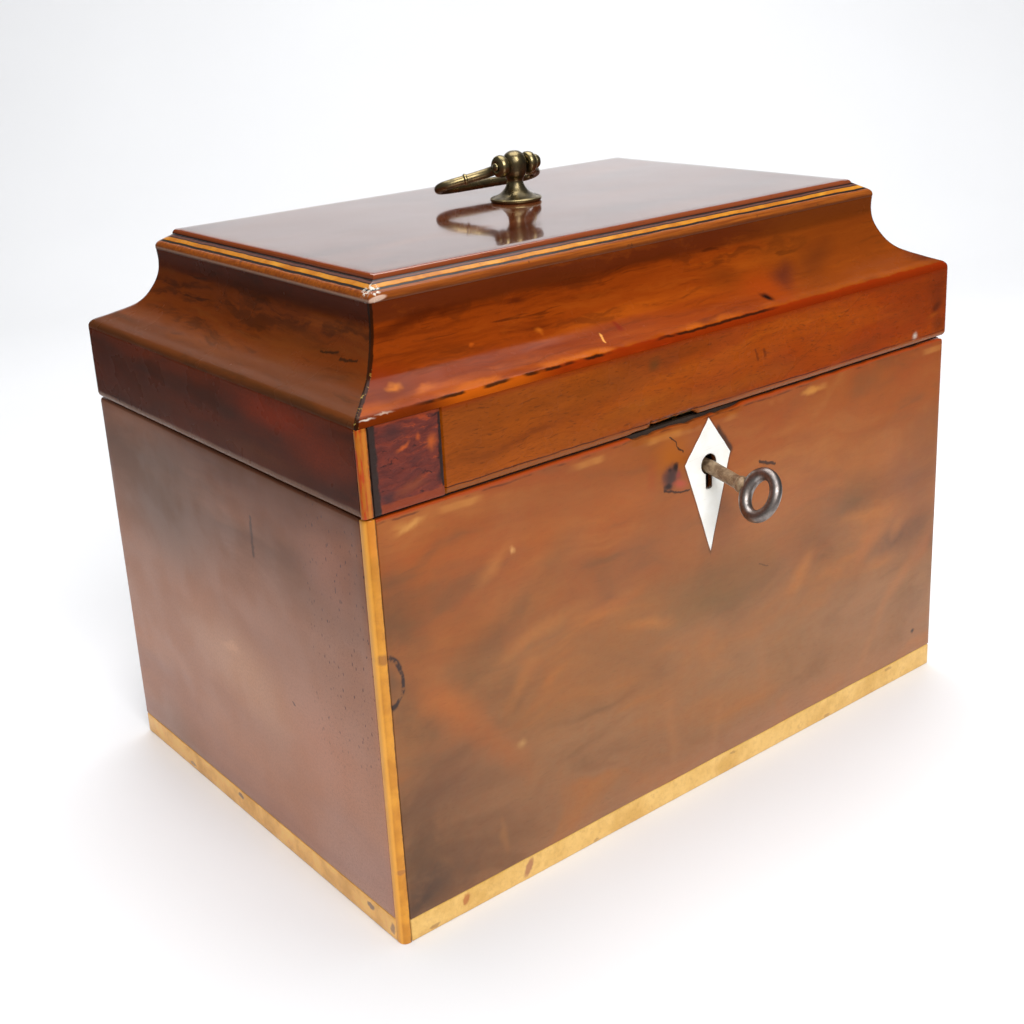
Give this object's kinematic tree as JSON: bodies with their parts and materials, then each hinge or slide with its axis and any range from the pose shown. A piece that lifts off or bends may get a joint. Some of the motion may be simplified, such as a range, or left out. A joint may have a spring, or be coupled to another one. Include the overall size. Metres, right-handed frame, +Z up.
{
  "type": "tea caddy",
  "caption": "Veneered wooden tea caddy: box with a hinged coved lid, swinging brass handle, lock with key, and lined compartments under loose inner lids.",
  "frame": {"origin": "centre of the underside of the box body, in the plane it stands on", "axes": "+X along the front towards the right-hand side, +Y from the front to the hinged back, +Z up"},
  "size_m": [0.2216, 0.1795, 0.1825],
  "materials": {
    "front_mahogany": "figured mahogany veneer, worn satin polish",
    "side_mahogany": "dark brown mahogany, old satin polish",
    "fascia_mahogany": "glossy orange-brown mahogany",
    "cove_mahogany": "glossy dark red-brown mahogany",
    "panel_mahogany": "high polish, dark red-brown mahogany",
    "carcase_wood": "plain unpolished carcase wood",
    "boxwood": "yellow boxwood stringing, satin",
    "tea_lead": "dull grey lead foil lining",
    "brass": "dulled brass",
    "aged_brass": "dark aged brass with rubbed highlights",
    "iron": "grey-brown wrought iron, lightly rusted",
    "bone": "off-white bone"
  },
  "bodies": {
    "root": {"back_board": "side_mahogany", "base_board": "carcase_wood", "base_edging_front": "boxwood", "base_edging_left": "boxwood", "base_edging_right": "boxwood", "compartment_divider": "carcase_wood", "corner_string": "boxwood", "escutcheon": "bone", "front_board": "carcase_wood", "front_veneer": "front_mahogany", "hinge_left_body_leaf": "brass", "hinge_left_body_screw_a": "brass", "hinge_left_body_screw_b": "brass", "hinge_left_pin": "brass", "hinge_right_body_leaf": "brass", "hinge_right_body_screw_a": "brass", "hinge_right_body_screw_b": "brass", "hinge_right_pin": "brass", "left_board": "carcase_wood", "left_veneer": "side_mahogany", "lock_case": "brass", "lock_screw_left": "brass", "lock_screw_right": "brass", "right_board": "carcase_wood", "right_veneer": "side_mahogany", "tea_lining_left": "tea_lead", "tea_lining_right": "tea_lead"},
    "lid": {"handle_nut": "brass", "handle_pivot_pin": "aged_brass", "handle_post": "aged_brass", "hinge_left_lid_leaf": "brass", "hinge_left_lid_screw_a": "brass", "hinge_left_lid_screw_b": "brass", "hinge_right_lid_leaf": "brass", "hinge_right_lid_screw_a": "brass", "hinge_right_lid_screw_b": "brass", "lid_back_rail": "side_mahogany", "lid_corner_string": "boxwood", "lid_cove_back": "cove_mahogany", "lid_cove_front": "cove_mahogany", "lid_cove_left": "cove_mahogany", "lid_cove_right": "cove_mahogany", "lid_fascia_patch": "cove_mahogany", "lid_front_rail": "fascia_mahogany", "lid_left_rail": "side_mahogany", "lid_right_rail": "side_mahogany", "lid_top_banding": "boxwood", "lid_top_panel": "panel_mahogany", "link_screw_left": "brass", "link_screw_right": "brass", "lock_link_plate": "brass"},
    "handle_bail": {"handle_bail": "aged_brass"},
    "key": {"key": "iron"},
    "lock_bolt": {"lock_bolt": "brass"},
    "inner_lid_left": {"inner_lid_left": "side_mahogany", "inner_knob_left": "bone"},
    "inner_lid_right": {"inner_lid_right": "side_mahogany", "inner_knob_right": "bone"}
  },
  "joints": [
    {"name": "lid_hinge", "type": "hinge", "parent": "root", "child": "lid", "pos_m": [0, 0.0772, 0.1167], "axis": [-1, 0, 0], "range_deg": [0, 100]},
    {"name": "handle_swing", "type": "hinge", "parent": "lid", "child": "handle_bail", "pos_m": [0.002, 0.005, 0.1783], "axis": [1, 0, 0], "range_deg": [0, 227]},
    {"name": "key_turn", "type": "hinge", "parent": "root", "child": "key", "pos_m": [0.0024, -0.0745, 0.1004], "axis": [0, 0.9945, 0.1045], "range_deg": [-29, 331]},
    {"name": "bolt_slide", "type": "slide", "parent": "root", "child": "lock_bolt", "axis": [1, 0, 0], "range_m": [-0.0005, 0.0045]},
    {"name": "inner_lid_left_lift", "type": "slide", "parent": "root", "child": "inner_lid_left", "axis": [0, 0, 1], "range_m": [0, 0.028]},
    {"name": "inner_lid_right_lift", "type": "slide", "parent": "root", "child": "inner_lid_right", "axis": [0, 0, 1], "range_m": [0, 0.028]}
  ],
  "couplings": [
    {"joint": "bolt_slide", "follows": "key_turn", "m_per_rad": 0.0007162}
  ]
}
